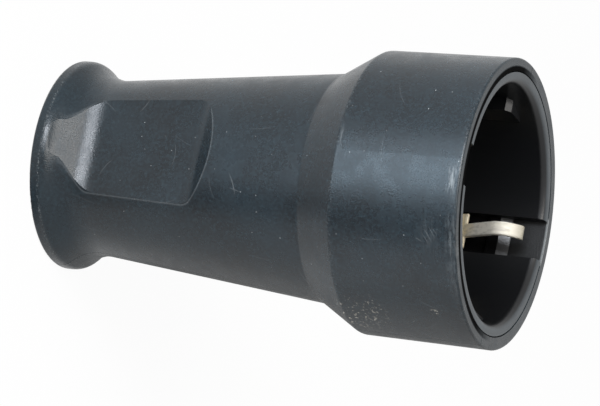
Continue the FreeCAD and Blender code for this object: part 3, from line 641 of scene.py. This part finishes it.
def zincSteel():
    look = fastenerLook
    material, tree, shader, place = newMaterial("zincSteel")
    cloud = addNode(tree, "ShaderNodeTexNoise",
                    {"Vector": place, "Scale": patternScale(look["cloudSize"]), "Detail": 4})
    metal = addNode(tree, "ShaderNodeMix", {0: cloud, 6: linear(look["zinc"]), 7: linear(look["dull"])},
                    data_type="RGBA")
    bump = addNode(tree, "ShaderNodeBump",
                   {"Strength": 0.25, "Distance": look["cloudHeight"] * mm, "Height": cloud})
    setSockets(tree, shader,
               {"Base Color": metal, "Roughness": look["roughness"], "Normal": bump, "Metallic": 1})
    return material


dress(mouldedRubber(), "rubber_body")
dress(pressedThermoset(), "socket_cup")
dress(mattThermoset(), "contact_carrier", "cord_clamp")
dress(turnedBrass(), "contact_left", "contact_right")
dress(platedBrass(), "earth_bracket")
dress(zincSteel(), "contact_springs", "contact_terminal_screws", "earth_clamp_plate", "earth_terminal_screw",
      "insert_screw", "insert_nut", "cord_clamp_screws")
print("materials on", len(nodes), "nodes")


def mirroredRay(tree, path):
    # gloss, metal and glass look at the room by these rays
    return combine(tree, [path.outputs["Is Glossy Ray"], path.outputs["Is Transmission Ray"]], "MAXIMUM")


# Floor: pale sheet under the collar that reads as white and keeps a soft shadow
floorLook = {
    "half": 3.0,             # m
    "colour": "#f4f4f4",
    "seenShare": 0.95,       # white for the camera, the rest is the lit sheet
    "mirroredShare": 0.6,    # white for mirrored rays
    # painted shade: sectors of the floor that look darker to mirrored rays only, so the skin mirrors a darker
    # room there
    "shadeSectors": [(37, 24, 1.0), (165, 60, 0.85)],  # darker sectors for mirrored rays: turn, half width, depth
}


def makeFloor():
    look = floorLook
    bpy.ops.object.select_all(action="DESELECT")
    bpy.ops.mesh.primitive_plane_add(size=2 * look["half"], location=(0, 0, 0))
    floor = bpy.context.object
    floor.name = "floor"
    material = bpy.data.materials.new("paleSheet")
    material.use_nodes = True
    tree = material.node_tree
    tree.nodes.clear()
    path = addNode(tree, "ShaderNodeLightPath")
    mirrored = mirroredRay(tree, path)
    place = addNode(tree, "ShaderNodeTexCoord").outputs["Object"]
    x, y, _ = addNode(tree, "ShaderNodeSeparateXYZ", {0: place}).outputs
    turn = addNode(tree, "ShaderNodeMath", {0: y, 1: x}, operation="ARCTAN2")
    # painted shade for mirrored rays in these sectors
    shadeSectors = []
    for middle, halfWidth, depth in look["shadeSectors"]:
        past = addNode(tree, "ShaderNodeMath", {0: turn, 1: math.radians(middle)}, operation="SUBTRACT")
        aside = addNode(tree, "ShaderNodeMath", {0: past}, operation="ABSOLUTE")
        shadeSectors.append(addNode(tree, "ShaderNodeMapRange",
                             {0: aside, 2: math.radians(halfWidth), 3: depth, 4: 0},
                             interpolation_type="SMOOTHSTEP"))
    sectorShade = combine(tree, [mirrored, combine(tree, shadeSectors, "MAXIMUM")], "MULTIPLY")
    level = addNode(tree, "ShaderNodeMath", {0: 1, 1: sectorShade}, operation="SUBTRACT")
    mirroredShare = combine(tree, [mirrored, look["mirroredShare"]], "MULTIPLY")
    share = addNode(tree, "ShaderNodeMath",
                    {0: path.outputs["Is Camera Ray"], 1: look["seenShare"], 2: mirroredShare},
                    operation="MULTIPLY_ADD")
    sheet = addNode(tree, "ShaderNodeBsdfDiffuse", {0: linear(look["colour"])})
    white = addNode(tree, "ShaderNodeEmission", {0: (1, 1, 1, 1), 1: level})
    both = addNode(tree, "ShaderNodeMixShader", {0: share, 1: sheet, 2: white})
    addNode(tree, "ShaderNodeOutputMaterial", {0: both})
    floor.data.materials.append(material)


makeFloor()
print("floor laid")

# Light: even white room, a soft box beside the camera, a warmer one over the mouth and a faint low panel
# at +Y. Places and sizes are m, turns degrees and power W.
roomLook = {"fill": 0.45, "mirrored": 0.75, "seen": 1.0}
lampLook = {
    "softBox": {
        "place": (0.70, -0.19, 0.205),
        "turn": (78, 0, 75),
        "size": (0.16, 0.42),
        "power": 4.9,
        "colour": "#f2f7ff",
    },
    "mouthBox": {
        "place": (0.46, -0.125, 0.68),
        "turn": (34, 0, 75),
        "size": (0.34, 0.52),
        "power": 3.9,
        "colour": "#fbf8f4",
    },
    "sidePanel": {
        "place": (0.05, 0.17, 0.002),
        "turn": (180, 0, 78),
        "size": (0.14, 0.10),
        "power": 0.020,
        "colour": "#f4f6f8",
    },
}

# low panel in front: strips just over the floor, one above the other, so that it fades out to both sides
lowPanelLook = {
    "turn": 15.4,
    "away": 0.1825,
    "length": 0.12,
    "strips": [  # both ends and radiance
        (-0.150, 0.008, 1.5),
        (-0.130, -0.005, 2.0),
        (-0.104, -0.011, 2.0),
        (-0.090, -0.020, 1.8),
    ],
    "height": 0.002,
    "step": 0.001,
    "colour": "#cfeaff",
}


def lightWorld():
    world = bpy.data.worlds.new("whiteRoom")
    world.use_nodes = True
    tree = world.node_tree
    tree.nodes.clear()
    path = addNode(tree, "ShaderNodeLightPath")
    level = addNode(tree, "ShaderNodeMapRange",
                    {0: mirroredRay(tree, path), 3: roomLook["fill"], 4: roomLook["mirrored"]})
    level = addNode(tree, "ShaderNodeMapRange",
                    {0: path.outputs["Is Camera Ray"], 3: level, 4: roomLook["seen"]})
    white = addNode(tree, "ShaderNodeBackground", {0: (1, 1, 1, 1), 1: level})
    addNode(tree, "ShaderNodeOutputWorld", {0: white})
    bpy.context.scene.world = world


def lowPanelLamps():
    look = lowPanelLook
    ahead = Matrix.Rotation(math.radians(look["turn"]), 3, "Z")
    lamps = {}
    for step, (start, end, radiance) in enumerate(look["strips"]):
        length, width = look["length"], end - start
        lamps[f"lowPanel{step}"] = {
            "place": ahead @ Vector((look["away"], (start + end) / 2, look["height"] + look["step"] * step)),
            "turn": (180, 0, look["turn"]),
            "size": (length, width),
            "power": radiance * math.pi * length * width,
            "colour": look["colour"],
        }
    return lamps


def hangLamps(lamps):
    for name, look in lamps.items():
        bpy.ops.object.light_add(type="AREA", location=look["place"],
                                 rotation=[math.radians(angle) for angle in look["turn"]])
        lamp = bpy.context.object
        lamp.name = name
        lamp.data.shape = "RECTANGLE"
        lamp.data.size, lamp.data.size_y = look["size"]
        lamp.data.energy = look["power"]
        lamp.data.color = linear(look["colour"])[:3]


lightWorld()
hangLamps(lampLook)
hangLamps(lowPanelLamps())
print("lights set")

# Camera: long lens, rolled so that the standing part lies across the frame
cameraLook = {
    "place": (0.52612, 0.14801, 0.26945),
    "right": (-0.3433, -0.1913, 0.9195),
    "down": (-0.2989, 0.9504, 0.0861),
    "lens": 210.0,
    "sensor": 36.0,
}


def placeCamera():
    look = cameraLook
    right = Vector(look["right"]).normalized()
    down = Vector(look["down"])
    down = (down - right * down.dot(right)).normalized()
    forward = right.cross(down)
    bpy.ops.object.camera_add()
    camera = bpy.context.object
    facing = Matrix((right, -down, -forward)).transposed().to_4x4()
    camera.matrix_world = Matrix.Translation(look["place"]) @ facing
    camera.data.lens = look["lens"]
    camera.data.sensor_width = look["sensor"]
    bpy.context.scene.camera = camera


placeCamera()
bpy.context.scene.view_settings.view_transform = "Standard"
print("camera set")
